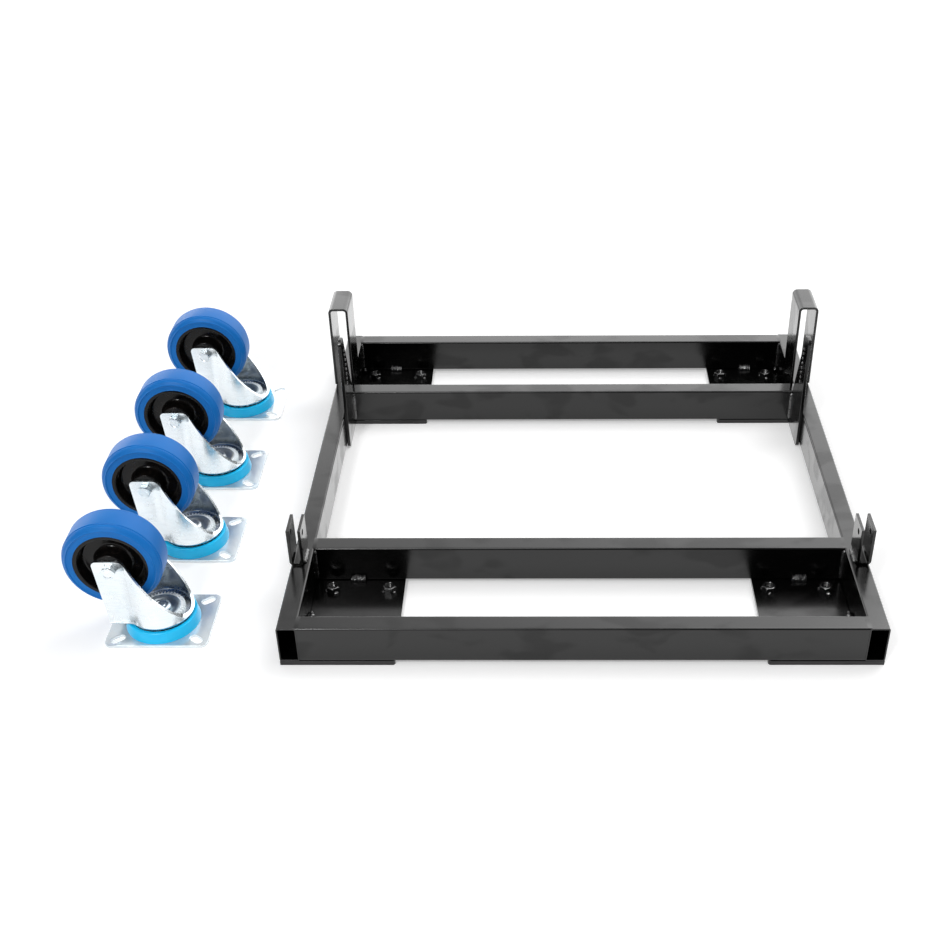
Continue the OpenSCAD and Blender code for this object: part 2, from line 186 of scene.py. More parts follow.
def makeRoom():
    # plain white to the camera and a soft grey lamp; gloss mirrors it brighter on the right and low down,
    # dark in front, with one bright window overhead
    world = bpy.data.worlds.new("room")
    bpy.context.scene.world = world
    world.use_nodes = True
    walls = Finish("room", world.node_tree)
    seen = walls.node("ShaderNodeLightPath", {}, {}, "Is Camera Ray")
    glossy = walls.node("ShaderNodeLightPath", {}, {}, "Is Glossy Ray")
    ahead = walls.node("ShaderNodeTexCoord", {}, {}, "Generated")
    x, y, z = (walls.node("ShaderNodeSeparateXYZ", {}, {0: ahead}, axis) for axis in "XYZ")
    gloss, fades, window = room["gloss"], room["fades"], room["window"]
    shine = x.ramp(*fades["across"], gloss["left"], gloss["right"])
    shine = shine + (gloss["low"] - shine) * z.ramp(*fades["down"])
    shine = gloss["front"] + (shine - gloss["front"]) * y.ramp(*fades["back"])
    toward = unit(np.array(window["toward"]))
    facing = x * toward[0] + y * toward[1] + z * toward[2]
    shine = shine + facing.ramp(*window["edge"]) * window["strength"]
    strength = room["sky"] + seen * (1 - room["sky"]) + glossy * (shine - room["sky"])
    glow = walls.node("ShaderNodeBackground", {}, {"Color": (1, 1, 1, 1), "Strength": strength})
    walls.node("ShaderNodeOutputWorld", {}, {"Surface": glow})


ground = {
    "reach": 6.0,  # metres from the middle to each side
    "colour": (0.88, 0.88, 0.88, 1),
    "glow": 0.30,
    "farGlow": 0.75,  # more glow far away, where the lamps fade
    "far": (1.2, 2.6),  # metres from the middle where the glow starts and ends to grow
    "mirrored": 0.45,  # added to the glow where gloss mirrors the floor
}


def makeFloor():
    # a matt white sheet that glows to the camera and in mirrors, so that little but its shadows shows
    side = ground["reach"]
    mesh = bpy.data.meshes.new("floor")
    edges = [(-side, -side, 0), (side, -side, 0), (side, side, 0), (-side, side, 0)]
    mesh.from_pydata(edges, [], [(0, 1, 2, 3)])
    floor = added("floor", mesh)
    white = Finish("floorWhite")
    matt = white.node("ShaderNodeBsdfDiffuse", {}, {"Color": ground["colour"]})
    seen, glossy, through = (white.node("ShaderNodeLightPath", {}, {}, key)
                             for key in ("Is Camera Ray", "Is Glossy Ray", "Is Transmission Ray"))
    spot = white.place()
    x, y = (white.node("ShaderNodeSeparateXYZ", {}, {0: spot}, axis) for axis in "XY")
    glow = ((x * x + y * y) ** 0.5).ramp(*ground["far"], ground["glow"], ground["farGlow"])
    lit = (seen + glossy + through) * glow + glossy * ground["mirrored"]
    shine = white.node("ShaderNodeEmission", {}, {"Color": (1, 1, 1, 1), "Strength": lit})
    both = white.node("ShaderNodeAddShader", {}, {0: matt, 1: shine})
    white.node("ShaderNodeOutputMaterial", {}, {"Surface": both})
    mesh.materials.append(white.material)


lamps = [
    {"place": (1.3, 0.9, 2.6), "aim": (0, 0, 0), "size": 2.0, "watts": 40},
    {"place": (-0.85, -2.0, 2.25), "aim": (-0.1, 0, 0), "size": 0.5, "watts": 30},
]


def makeLamps():
    for n, lamp in enumerate(lamps):
        data = bpy.data.lights.new(f"softbox{n}", "AREA")
        data.size, data.energy = lamp["size"], lamp["watts"]
        back = unit(np.array(lamp["place"]) - np.array(lamp["aim"]))
        across = unit(np.cross([0, 0, 1.0], back))
        made = added(f"softbox{n}", data)
        made.matrix_world = placed([across, np.cross(back, across), back], lamp["place"])


makeCamera()
makeRoom()
makeFloor()
makeLamps()
bpy.context.scene.view_settings.view_transform = "Standard"
print("camera, lamps and floor made")

# finishes: a noise's size is its number of grains in a metre, and a bump's depth is in metres

powder = {
    "colour": (0.0007, 0.0007, 0.0007),
    # on the powder coat, paler is the colour of its dust and specks
    "dusty": (0.004, 0.004, 0.0036),
    "rough": 0.18,
    "ior": 1.37,
    "coat": 0.15,
    "coatRough": 0.14,
    "smudges": (17, 26, 26),
    "dust": 60,
    "specks": (260, 35),  # the specks, and the patches that they lie in
    "peel": (750, 2600),
    "peelDepth": 0.00004,
}


def powderCoat():  # gloss black powder coat: fine orange peel, wiping smudges and a little dust
    f = Finish("blackPowderCoat")
    spot = f.place()
    smudge = f.noise(f.place(powder["smudges"]), 1.0, 2.0, 0.5, 0.4).ramp(0.50, 0.62)
    dust = f.noise(spot, powder["dust"], 4.0, 0.7).ramp(0.5, 0.8)
    speck = 1 - f.cells(spot, powder["specks"][0]).ramp(0.03, 0.10)
    speck = speck * f.noise(spot, powder["specks"][1], 1.0).ramp(0.62, 0.7)
    colour = f.blend(dust * 0.5 + speck * 0.8, powder["colour"], powder["dusty"])
    coarse, fine = (f.noise(spot, size, 1.0) for size in powder["peel"])
    peel = coarse * 0.7 + fine * 0.3
    rough = powder["rough"] + smudge * 0.05 + dust * 0.03
    coat = powder["coat"] * (1 - smudge)
    return f.skin(colour=colour, rough=rough, ior=powder["ior"], coat=coat,
                  coatRough=powder["coatRough"], normal=f.bump(peel, powder["peelDepth"], 0.4))


weldCoat = {
    "colour": (0.003, 0.003, 0.0032),
    # paler: painted highlight colour for the tops of the weld's lumps
    "dusty": (0.016, 0.015, 0.014),
    "rough": 0.14,
    "ior": 1.75,
    "lumps": 420,
    "lumpDepth": 0.0004,
    "pits": 1500,
}


def coatedWeld():  # the same coat, glossy over a lumpy weld, with painted highlights: the tops of the lumps are coloured paler
    f = Finish("coatedWeld")
    spot = f.place()
    lumps = f.noise(spot, weldCoat["lumps"], 3.0, 0.6)
    # painted highlight: the higher the lump, the paler its colour
    colour = f.blend(lumps.ramp(0.5, 0.8), weldCoat["colour"], weldCoat["dusty"])
    rough = weldCoat["rough"] + f.noise(spot, weldCoat["pits"], 2.0) * 0.10
    return f.skin(colour=colour, rough=rough, ior=weldCoat["ior"],
                  normal=f.bump(lumps, weldCoat["lumpDepth"], 0.5))


zinc = {"colour": (0.66, 0.695, 0.71), "blue": (0.50, 0.62, 0.70), "mark": (0.28, 0.32, 0.345)}
evenly, upwards = (1, 1, 1), (0.06, 0.06, 0.6)  # stretch of the drawing marks
zincKinds = {  # wear darkens the marks, gloss is the roughness, tone scales the three colours
    "zincPlate": {"grain": evenly, "wear": 0.10, "gloss": 0.13, "blue": 0.7, "metal": 0.60, "tone": 0.98},
    "forkZinc": {"grain": upwards, "wear": 0.12, "gloss": 0.18, "blue": 0.30, "metal": 1.0, "tone": 0.94},
    # a shaded copy of the zinc for the cup and kingpin: its tone is lowered as painted shade, and its blue
    # tint, real on zinc, is turned to full as a painted reflection of the blue tyre
    "cupZinc": {"grain": evenly, "wear": 0.6, "gloss": 0.30, "blue": 1.0, "metal": 1.0, "tone": 0.8},
    # a lit copy of the same zinc for the teeth: its tone is raised, and its metal lowered, as painted light
    "toothZinc": {"grain": evenly, "wear": 0.0, "gloss": 0.42, "blue": 0.0, "metal": 0.1, "tone": 1.35},
    "boltZinc": {"grain": evenly, "wear": 0.35, "gloss": 0.20, "blue": 0.8, "metal": 1.0, "tone": 1.0},
}


def drawnZinc(name):  # bright zinc: faint blue tint, drawing marks along the grain
    kind = zincKinds[name]
    f = Finish(name)
    spot = f.place()
    tint = f.noise(spot, 28, 3.0, 0.6).ramp(0.35, 0.75)
    drawn = f.noise(f.place(kind["grain"]), 900, 3.0, 0.6)
    cloud = f.noise(spot, 70, 4.0, 0.65, 0.4)
    plain, blue, mark = (tuple(part * kind["tone"] for part in zinc[key])
                         for key in ("colour", "blue", "mark"))
    colour = f.blend(tint * kind["blue"], plain, blue)
    colour = f.blend(drawn.ramp(0.25, 0.6, kind["wear"], 0.0), colour, mark)
    rough = kind["gloss"] + cloud.ramp(0.3, 0.8, 0.0, 0.12) + drawn * 0.04
    return f.skin(colour=colour, rough=rough, metal=kind["metal"], normal=f.bump(drawn, 0.00001, 0.2))


rubber = {"colour": (0.005, 0.150, 0.50), "bloomed": (0.012, 0.182, 0.54), "rough": 0.40, "specular": 0.18}


def tyreRubber():  # blue elastic rubber with a faint bloom
    f = Finish("blueRubber")
    spot = f.place()
    bloom = f.noise(spot, 22, 3.0, 0.6, 0.5).ramp(0.35, 0.8)
    grain = f.noise(spot, 1500, 2.0)
    colour = f.blend(bloom * 0.5, rubber["colour"], rubber["bloomed"])
    rough = rubber["rough"] + bloom * 0.12
    return f.skin(colour=colour, rough=rough, specular=rubber["specular"],
                  normal=f.bump(grain, 0.00002, 0.4))


plastic = {"colour": (0.004, 0.53, 0.97), "cloudy": (0.014, 0.61, 0.99), "rough": 0.26, "specular": 0.35}


def sealPlastic():  # bright blue plastic
    f = Finish("bluePlastic")
    spot = f.place()
    cloud = f.noise(spot, 45, 2.0)
    grain = f.noise(spot, 1200, 1.0)
    colour = f.blend(cloud, plastic["colour"], plastic["cloudy"])
    rough = plastic["rough"] + cloud * 0.12
    return f.skin(colour=colour, rough=rough, specular=plastic["specular"],
                  normal=f.bump(grain, 0.00002, 0.3))


nylon = {"colour": (0.003, 0.0028, 0.0028), "flowed": (0.009, 0.007, 0.006), "rough": 0.12,
         "specular": 0.16}


def rimNylon():  # glossy black nylon with faint flow marks
    f = Finish("blackNylon")
    spot = f.place()
    flow = f.noise(spot, 90, 3.0, 0.6, 1.0)
    grain = f.noise(spot, 700, 2.0)
    colour = f.blend(flow.ramp(0.4, 0.8), nylon["colour"], nylon["flowed"])
    rough = nylon["rough"] + flow.ramp(0.3, 0.8, 0.0, 0.08)
    return f.skin(colour=colour, rough=rough, specular=nylon["specular"],
                  normal=f.bump(grain, 0.00003, 0.25))


steel = {"colour": (0.52, 0.53, 0.55), "bright": (0.64, 0.65, 0.66), "rough": 0.22}


def turnedSteel():  # plain steel of bearings and balls
    f = Finish("turnedSteel")
    cloud = f.noise(f.place(), 300, 3.0)
    colour = f.blend(cloud, steel["colour"], steel["bright"])
    return f.skin(colour=colour, rough=steel["rough"] + cloud * 0.15, metal=1.0)


finishes = {
    "powder": powderCoat(),
    "weld": coatedWeld(),
    "rubber": tyreRubber(),
    "plastic": sealPlastic(),
    "nylon": rimNylon(),
    "steel": turnedSteel(),
    **{name: drawnZinc(name) for name in zincKinds},
}


def paint(piece, finish):
    if not piece.material_slots:
        piece.data.materials.append(finishes[finish])
    for slot in piece.material_slots:
        slot.material = finishes[finish]


# surfaces, in millimetres

def gridFaces(rows, columns, ringRows=True):
    # quads of a grid of points taken row by row; its columns close into a ring, and so can its rows
    row = np.arange(rows if ringRows else rows - 1)[:, None]
    column = np.arange(columns)[None, :]
    nextRow, nextColumn = (row + 1) % rows, (column + 1) % columns
    quads = [row * columns + column, row * columns + nextColumn,
             nextRow * columns + nextColumn, nextRow * columns + column]
    return np.stack(quads, -1).reshape(-1, 4)


def joined(parts):  # several (points, faces) as one
    points, faces, count = [], [], 0
    for spots, quads in parts:
        spots = spots.reshape(-1, 3)
        points.append(spots)
        faces.append(quads + count)
        count += len(spots)
    return np.concatenate(points), np.concatenate(faces)


def repeated(points, faces):  # points: one block of a grid's points for each copy
    blocks = points.reshape(len(points), -1, 3)
    steps = np.arange(len(blocks))[:, None, None] * blocks.shape[1]
    return blocks.reshape(-1, 3), (faces[None] + steps).reshape(-1, 4)


def roundedLoop(outline, steps):
    # closed outline of (x, y, radius) corners: each corner is an arc between the points where its circle
    # touches the two sides, turned from one radius to the other at an even speed
    outline = np.array(outline, float)
    points, radius = outline[:, :2], outline[:, 2:]
    back = unit(np.roll(points, 1, 0) - points)
    ahead = unit(np.roll(points, -1, 0) - points)
    half = np.arccos(np.clip((back * ahead).sum(1, keepdims=True), -1, 1)) / 2
    centre = points + unit(back + ahead) * radius / np.sin(half)
    start = points + back * radius / np.tan(half) - centre
    end = points + ahead * radius / np.tan(half) - centre
    turn = np.maximum(np.pi - 2 * half, 1e-6)[:, None]
    t = np.linspace(0, 1, steps)[None, :, None]
    arc = (np.sin((1 - t) * turn) * start[:, None] + np.sin(t * turn) * end[:, None]) / np.sin(turn)
    return (centre[:, None] + arc).reshape(-1, 2)


def mirrored(side):  # an outline's (radius, height, rounding) corners and their mirror image below
    return side + [(radius, -height, bend) for radius, height, bend in side[::-1]]


def circled(radius, height, t):  # radius and height carried round Z: x = r cos t, y = r sin t
    return np.stack([radius * np.cos(t), radius * np.sin(t), height + 0 * t], -1)


def turned(profile, columns, wave=None):
    # profile of (radius, height) turned about Z; with a wave, the radius at angle t lies wave(t) of the way
    # from a row's first value to its third
    t = np.arange(columns) * tau / columns
    radius, height = profile[:, :1], profile[:, 1:2]
    if wave is not None:
        radius = radius + (profile[:, 2:3] - radius) * wave(t)
    return circled(radius, height, t)


def ballAngles(rows, columns, lowest=-np.pi / 2):
    # a ball's height angle down a column and its turn along a row
    return np.linspace(lowest, np.pi / 2, rows)[:, None], np.arange(columns)[None, :] * tau / columns


touching = {"drawn": 0.003 * mm, "cad": 0.002 * mm}  # points closer than this are one
soften = {"segments": 2, "hard": 30, "flat": 0.4, "sharp": 48,  # degrees but for the first
          "plate": 0.35, "fork": 0.4, "tube": 0.25, "cornerPlate": 0.5, "strip": 0.45}  # millimetres


def makePiece(name, points, faces, finish, body, stands=(), sharp=35):
    # a drawn surface as an object; sharp is the angle from which an edge isn't shaded smooth
    mesh = bpy.data.meshes.new(name)
    mesh.from_pydata((points.reshape(-1, 3) * mm).tolist(), [], faces.tolist())
    shell = bmesh.new()
    shell.from_mesh(mesh)
    bmesh.ops.remove_doubles(shell, verts=shell.verts, dist=touching["drawn"])
    bmesh.ops.recalc_face_normals(shell, faces=shell.faces)
    shell.to_mesh(mesh)
    shell.free()
    return finishPiece(name, mesh, finish, body, stands, sharp)


def finishPiece(name, mesh, finish, body, stands, sharp):
    mesh.shade_smooth()
    mesh.set_sharp_from_angle(angle=np.radians(sharp))
    piece = added(name, mesh)
    paint(piece, finish)
    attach(piece, body)
    if stands:
        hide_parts(*stands)
    return piece


def softened(node, name, finish, body, width):
    # a copy of a CAD node: its loose triangles are merged, and each hard edge is rounded by width
    shell = bmesh.new()
    shell.from_mesh(nodes[node].data)
    bmesh.ops.remove_doubles(shell, verts=shell.verts, dist=touching["cad"])
    bmesh.ops.dissolve_limit(shell, angle_limit=np.radians(soften["flat"]), verts=shell.verts,
                             edges=shell.edges)
    hard = [edge for edge in shell.edges
            if len(edge.link_faces) == 2 and edge.calc_face_angle() > np.radians(soften["hard"])]
    bmesh.ops.bevel(shell, geom=hard, offset=width * mm, segments=soften["segments"], affect="EDGES",
                    profile=0.5, clamp_overlap=True)
    bmesh.ops.triangulate(shell, faces=[face for face in shell.faces if len(face.verts) > 4])
    mesh = bpy.data.meshes.new(name)
    shell.to_mesh(mesh)
    shell.free()
    piece = finishPiece(name, mesh, finish, body, [node], soften["sharp"])
    weights = piece.modifiers.new("evenNormals", "WEIGHTED_NORMAL")
    weights.keep_sharp = True


def nodeBox(node):  # lowest and highest corner of a CAD node
    return [np.array(corner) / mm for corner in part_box(node)]


# castors, drawn about the kingpin with the mounting face at height 0

wheel = {"trail": 36.0, "height": 87.0, "radius": 50.0, "half": 18.0, "rimRadius": 37.5}


def onAxle(points):  # from drawn along Z about the origin to the wheel's axle, which lies along Y
    return points[..., [0, 2, 1]] * [1, -1, 1] + [-wheel["trail"], 0, wheel["height"]]


tyre = {"columns": 176, "tread": 11.0, "crease": 0.9, "beadRadius": 44.9, "panel": 17.2}


def tyreShape():
    # half of the outline from the rim to the tread, then its mirror image, turned about the axle
    half, radius, tread, panel = wheel["half"], wheel["radius"], tyre["tread"], tyre["panel"]
    crease = radius - tyre["crease"]
    side = [(wheel["rimRadius"], panel + 0.2, 0.0), (38.2, panel + 0.2, 0.3), (38.7, panel - 0.25, 0.4),
            (43.3, panel - 0.2, 0.6), (43.9, half - 0.1, 0.4), (tyre["beadRadius"], half, 0.5),
            (45.5, half - 1.1, 0.5), (47.9, 15.2, 2.6), (crease + 0.25, tread + 1.9, 1.2),
            (crease - 0.1, tread + 0.7, 0.3), (radius, tread - 0.1, 0.4)]
    return turned(roundedLoop(mirrored(side), 5), tyre["columns"])


rim = {"columns": 144, "lip": 34.4, "web": 5.0, "hub": 16.2, "hubEnd": 20.0, "bore": 10.0, "eye": 6.8}


def rimShape():  # a channel with a rounded lip, a web and a long hub, the same on both sides
    face, hub, hubEnd = wheel["half"] - 0.7, rim["hub"], rim["hubEnd"]
    side = [(rim["bore"], hubEnd - 1.2, 0.0), (rim["eye"], hubEnd - 1.2, 0.2),
            (rim["eye"], hubEnd - 0.1, 0.3), (hub - 0.5, hubEnd, 1.0), (hub + 0.8, rim["web"], 4.4),
            (31.0, rim["web"], 3.0), (rim["lip"] - 0.9, face, 1.6), (wheel["rimRadius"], face, 0.3)]
    return turned(roundedLoop(mirrored(side), 7), rim["columns"])


seal = {"columns": 128, "outer": 38.0, "foot": 3.0, "top": 14.5}


def sealShape():  # a tapered ring with a soft upper lip
    foot, top = seal["foot"], seal["top"]
    outline = [(36.2, foot, 0.0), (seal["outer"], foot, 0.3), (35.7, 13.9, 1.4), (35.0, top, 0.4),
               (31.5, top, 0.3), (31.5, 13.3, 0.3), (34.2, 13.1, 0.6)]
    return turned(roundedLoop(outline, 6), seal["columns"])


cup = {"teeth": 42, "base": 18.8, "top": 21.0, "skirt": 18.3, "toothRadius": 24.5, "valleyRadius": 20.6,
       "ringRadius": 19.6, "groove": 2.15, "ballRing": 18.0, "ballHeight": 18.3}


def cupShape():  # ring over the lower balls, with a shallow dish round the kingpin
    ring, top, base, skirt = cup["ringRadius"], cup["top"], cup["base"], cup["skirt"]
    arc = np.linspace(np.radians(166), np.radians(14), 9)
    groove = np.stack([cup["ballRing"] + cup["groove"] * np.cos(arc),
                       cup["ballHeight"] + cup["groove"] * np.sin(arc)], -1)
    section = [(20.3, base), (20.4, skirt + 0.3), (20.4, top - 0.7), (ring, top - 0.4),
               (13.6, top - 0.5), (13.0, top - 0.9), (6.0, top - 0.9), (6.0, base)]
    return turned(np.concatenate([groove, section]), cup["teeth"] * 4)


def toothShape():
    # ring of pressed teeth on the cup's edge: the radius runs between valley and tooth with a cosine wave
    # that is clipped flat at both ends; rows are (valley radius, height, tooth radius)
    tooth, valley, ring = cup["toothRadius"], cup["valleyRadius"], cup["ringRadius"]
    top, skirt = cup["top"], cup["skirt"]
    rows = np.array([
        (ring, top - 0.9, ring), (valley - 0.4, top - 0.9, 22.0), (valley - 0.3, skirt + 0.1, 23.4),
        (valley, skirt, tooth - 0.2), (valley, skirt + 0.3, tooth), (valley, skirt + 1.4, tooth),
        (valley, top - 0.3, 23.9), (valley - 0.2, top, 23.2), (ring + 0.4, top, ring + 0.4),
        (ring, top - 0.3, ring)])
    return turned(rows, cup["teeth"] * 8, lambda t: np.clip(0.2 + 1.6 * np.cos(cup["teeth"] * t), 0, 1))


kingpin = {"columns": 96, "rivet": 10.0, "end": 21.0}


def kingpinShape():  # flat head in the plate's recess, a collar, and an end spun over into a low dome
    end = kingpin["end"]
    outline = [(0.001, 0.9, 0.0), (3.0, 0.9, 0.3), (3.4, 0.4, 0.3), (14.0, 0.4, 0.5), (15.0, 1.2, 0.4),
               (15.0, 3.0, 0.0), (6.0, 3.0, 0.0), (6.0, 6.0, 0.0), (8.0, 6.0, 0.0), (8.0, 18.8, 0.0),
               (6.0, 18.8, 0.0), (6.0, end - 0.5, 0.0), (kingpin["rivet"], end - 0.5, 0.2),
               (9.4, end + 1.3, 0.9), (6.6, end + 2.1, 0.8), (5.9, end + 1.6, 0.3),
               (4.2, end + 1.6, 0.3), (3.6, end + 2.3, 0.4), (0.001, end + 2.3, 0.0)]
    return turned(roundedLoop(outline, 5), kingpin["columns"])


hexagon = {"flats": 13.0, "columns": 96, "slope": 1.732}


def hexShape(rows, chamferTop, chamferBase=None, turn=0.0):
    # rows are (radius or 0 for the hexagon, height); the hexagon's radius at angle t is half the distance
    # across its flats over the cosine of the angle to the nearest flat, and at most the chamfer cones'
    t = np.arange(hexagon["columns"]) * tau / hexagon["columns"]
    rows = np.array(rows, float)
    flat = hexagon["flats"] / 2 / np.cos((t - turn) % (tau / 6) - tau / 12)
    radius, height = rows[:, :1], rows[:, 1:]
    cone = 0.95 * hexagon["flats"] / 2
    side = np.minimum(flat, cone + (chamferTop - height) * hexagon["slope"])
    if chamferBase is not None:
        side = np.minimum(side, cone + (height - chamferBase) * hexagon["slope"])
    return circled(np.where(radius > 0, radius, side), height, t)


def threaded(radius, low, high, pitch, depth, columns):
    # helix as a wave on a cylinder: the radius falls by the depth with the cosine of height over pitch less
    # angle; a depth below 0 makes it rise, for a thread in a hole
    t = np.arange(columns) * tau / columns
    height = np.arange(low, high + 1e-6, pitch / 6)[:, None]
    wave = 0.5 - 0.5 * np.cos(tau * height / pitch - t)
    ends = np.clip((height - low) / pitch, 0, 1) * np.clip((high - height) / pitch, 0, 1)
    return circled(radius - depth * wave * ends, height, t)


axle = {"radius": 4.0, "leg": 23.5, "head": 5.3, "nut": 6.8, "end": 33.3, "pitch": 1.25, "depth": 0.5}


def axleShape():  # bolt with its head on the near leg, and a nut on the far leg
    columns, leg, end = hexagon["columns"], axle["leg"], axle["end"]
    top = leg + axle["head"]
    head = [(6.3, leg), (6.3, leg + 0.4), (0, leg + 0.42)]
    head += [(0, z) for z in np.linspace(top - 0.8, top, 5)]
    head += [(5.0, top), (4.6, top - 0.3), (0.001, top - 0.3)]
    shank = turned(np.array([(axle["radius"], leg)]), columns)
    screw = threaded(axle["radius"], -end + 0.9, -leg, axle["pitch"], axle["depth"], columns)[::-1]
    tip = turned(np.array([(3.3, -end), (0.001, -end)]), columns)
    bolt = np.concatenate([hexShape(head, top)[::-1], shank, screw, tip])
    low, high = -leg - axle["nut"], -leg
    rows = [(4.2, high), (0, high)] + [(0, z) for z in np.linspace(high - 0.1, high - 0.8, 4)]
    rows += [(0, z) for z in np.linspace(low + 0.8, low + 0.1, 4)]
    rows += [(0, low), (4.6, low), (4.05, low + 0.5)]
    nutBody = hexShape(rows, high, low)
    return joined([(onAxle(bolt), gridFaces(len(bolt), columns, False)),
                   (onAxle(nutBody), gridFaces(len(nutBody), columns))])


turnedPieces = {  # by CAD name: shape, finish, whether it turns with the wheel, piece name
    "tyre": (tyreShape, "rubber", True, "elasticTyre"),
    "rim": (rimShape, "nylon", True, "nylonRim"),
    "seal": (sealShape, "plastic", False, "dustSeal"),
    "race": (cupShape, "cupZinc", False, "ballCup"),
    "teeth": (toothShape, "toothZinc", False, "toothedRing"),  # the race's edge, not a node of its own
    "kingpin": (kingpinShape, "cupZinc", False, "spunKingpin"),
}


def dressCastor(castor):
    number, swivel = castor[-1], castor + "_swivel"
    low, high = nodeBox(castor + "_plate")
    spot = np.array([(low[0] + high[0]) / 2, (low[1] + high[1]) / 2, low[2]])
    for key, (shape, finish, wheeled, name) in turnedPieces.items():
        surface = shape()
        faces = gridFaces(*surface.shape[:2])
        surface = onAxle(surface) if wheeled else surface
        body = castor + "_wheel" if wheeled else "frame"
        stands = [f"{castor}_{key}"] if f"{castor}_{key}" in nodes else []
        makePiece(name + number, surface + spot, faces, finish, body, stands)
    points, faces = axleShape()
    makePiece("axleBolt" + number, points + spot, faces, "boltZinc", swivel, [castor + "_axle"])
    softened(castor + "_plate", "slottedPlate" + number, "zincPlate", "frame", soften["plate"])
    softened(castor + "_fork", "pressedFork" + number, "forkZinc", swivel, soften["fork"])


for castor in ("castor_1", "castor_2", "castor_3", "castor_4"):
    dressCastor(castor)
print("castors dressed")

# the frame's tubes, plates and strips

sides = ((-1, "left"), (1, "right"))
tubes = {"left": nodeBox("side_tube_left"), "right": nodeBox("side_tube_right")}
crossTubes = ["cross_tube_front", "cross_tube_second", "cross_tube_third", "cross_tube_back"]
middle = (tubes["left"][0][0] + tubes["right"][1][0]) / 2
tubeTop = tubes["left"][1][2]
plateTop = nodeBox("corner_plate_front_left")[1][2]
stripWords = {"corner": "cornerPlate", "hoop": "strip", "ear": "strip", "clevis": "strip"}
for node in ["side_tube_left", "side_tube_right"] + crossTubes:
    softened(node, node.replace("_", "") + "Coated", "powder", "frame", soften["tube"])
for node in nodes:
    word = node.split("_")[0]
    if word in stripWords:
        softened(node, node.replace("_", "") + "Coated", "powder", "frame", soften[stripWords[word]])
print("frame softened")


def innerFace(box, side):  # where the face of a left or right box that looks to the frame's middle lies
    return box[1][0] if side < 0 else box[0][0]


groundWeld = {"reach": 2.1, "drop": 2.05, "radius": 2.0, "proud": 0.03, "inset": 0.01}


def groundWeldShape(tube, side):
    # a cross tube's upper outline carried on over the rounding of a side tube, as a weld ground flush
    low, high = nodeBox(tube)
    face = low[0] if side < 0 else high[0]
    width, top = high[1] - low[1], tubeTop + groundWeld["proud"]
    inset, drop, radius = groundWeld["inset"], groundWeld["drop"], groundWeld["radius"]
    outline = [(inset, top - drop, 0), (inset, top, radius),
               (width - inset, top, radius), (width - inset, top - drop, 0)]
    loop = roundedLoop(outline, 7)
    along = face + side * np.linspace(-groundWeld["reach"], groundWeld["reach"], 9)
    points = np.empty((9, len(loop), 3))
    points[..., 0] = along[:, None]
    points[..., 1] = low[1] + loop[:, 0]
    points[..., 2] = loop[:, 1]
    core = points.mean(1, keepdims=True)
    capped = np.concatenate([core[:1] + 0 * points[:1], points, core[-1:] + 0 * points[-1:]])
    return capped, gridFaces(len(capped), len(loop), False)


fills = [groundWeldShape(tube, side) for tube in crossTubes for side in (-1, 1)]
makePiece("groundWelds", *joined(fills), "powder", "frame")

seam = {"ripple": 2.4, "depth": 0.10, "rows": 9, "step": 0.3, "radius": 3.0, "lift": 2.0, "run": 38.0,
        "clevisGap": 4.0}
plateBead = {"reach": 235.5, "length": 17.0, "radius": 6.5}  # reach is from the frame's middle


def seamShape(start, along, first, second, length, radius):
    # quarter-round weld: radius times a ripple that bows back from the middle of the bead, and that shrinks
    # to nothing at both ends; the inner corner is sunk a little into the metal
    along, first, second = (np.array(v, float) for v in (along, first, second))
    s = np.arange(0, length + 1e-6, seam["step"])[:, None]
    turn = np.linspace(0, np.pi / 2, seam["rows"])[None, :]
    ripple = np.abs(np.sin(np.pi * (s / seam["ripple"] - 0.45 * np.sin(2 * turn)))) ** 0.7
    wander = 1 + 0.06 * np.sin(s * 0.9 + start[1]) + 0.04 * np.sin(s * 2.3 + start[0])
    ends = np.clip(1 - np.abs(2 * s / length - 1) ** 12, 0, 1) ** 0.5
    spread = (radius * (1 - seam["depth"] + seam["depth"] * ripple) * wander * ends)[..., None]
    arc = np.cos(turn)[..., None] * first + np.sin(turn)[..., None] * second
    skin = np.array(start) + s[..., None] * along + spread * arc
    core = np.array(start) + s[..., None] * along - 0.4 * (first + second) + 0 * skin[:, :1]
    points = np.concatenate([skin, core], 1)
    return points, gridFaces(len(s), seam["rows"] + 1, False)


def cornerSeam(face, y, side, facing):  # a bead up the corner between two upright faces
    low = tubes["left"][0][2] + seam["lift"]
    return seamShape((face, y, low), (0, 0, 1), (-side, 0, 0), (0, facing, 0), seam["run"], seam["radius"])


def frameSeams():  # beads in the tubes' corners, on the corner plates, and along the ears and clevises
    seams = []
    for side, name in sides:
        inner = innerFace(tubes[name], side)
        for tube in crossTubes:
            front, back = nodeBox(tube)[0][1], nodeBox(tube)[1][1]
            if tube in ("cross_tube_front", "cross_tube_second"):
                seams.append(cornerSeam(inner, back, side, 1))
            if tube in ("cross_tube_second", "cross_tube_back"):
                seams.append(cornerSeam(inner, front, side, -1))
                start = (middle + side * plateBead["reach"] - plateBead["length"] / 2, front, plateTop)
                seams.append(seamShape(start, (1, 0, 0), (0, 0, 1), (0, -1, 0), plateBead["length"],
                                       plateBead["radius"]))
            if tube == "cross_tube_third":
                seams.append(cornerSeam(innerFace(nodeBox("ear_" + name), side), front, side, -1))
        clevis = nodeBox("clevis_" + name)
        start = (innerFace(clevis, side) + side * 0.5, clevis[0][1] + seam["clevisGap"], tubeTop)
        length = clevis[1][1] - clevis[0][1] - 2 * seam["clevisGap"]
        seams.append(seamShape(start, (0, 1, 0), (-side, 0, 0), (0, 0, 1), length, seam["radius"]))
    return joined(seams)


makePiece("weldSeams", *frameSeams(), "weld", "frame", ["weld_beads"], 60)

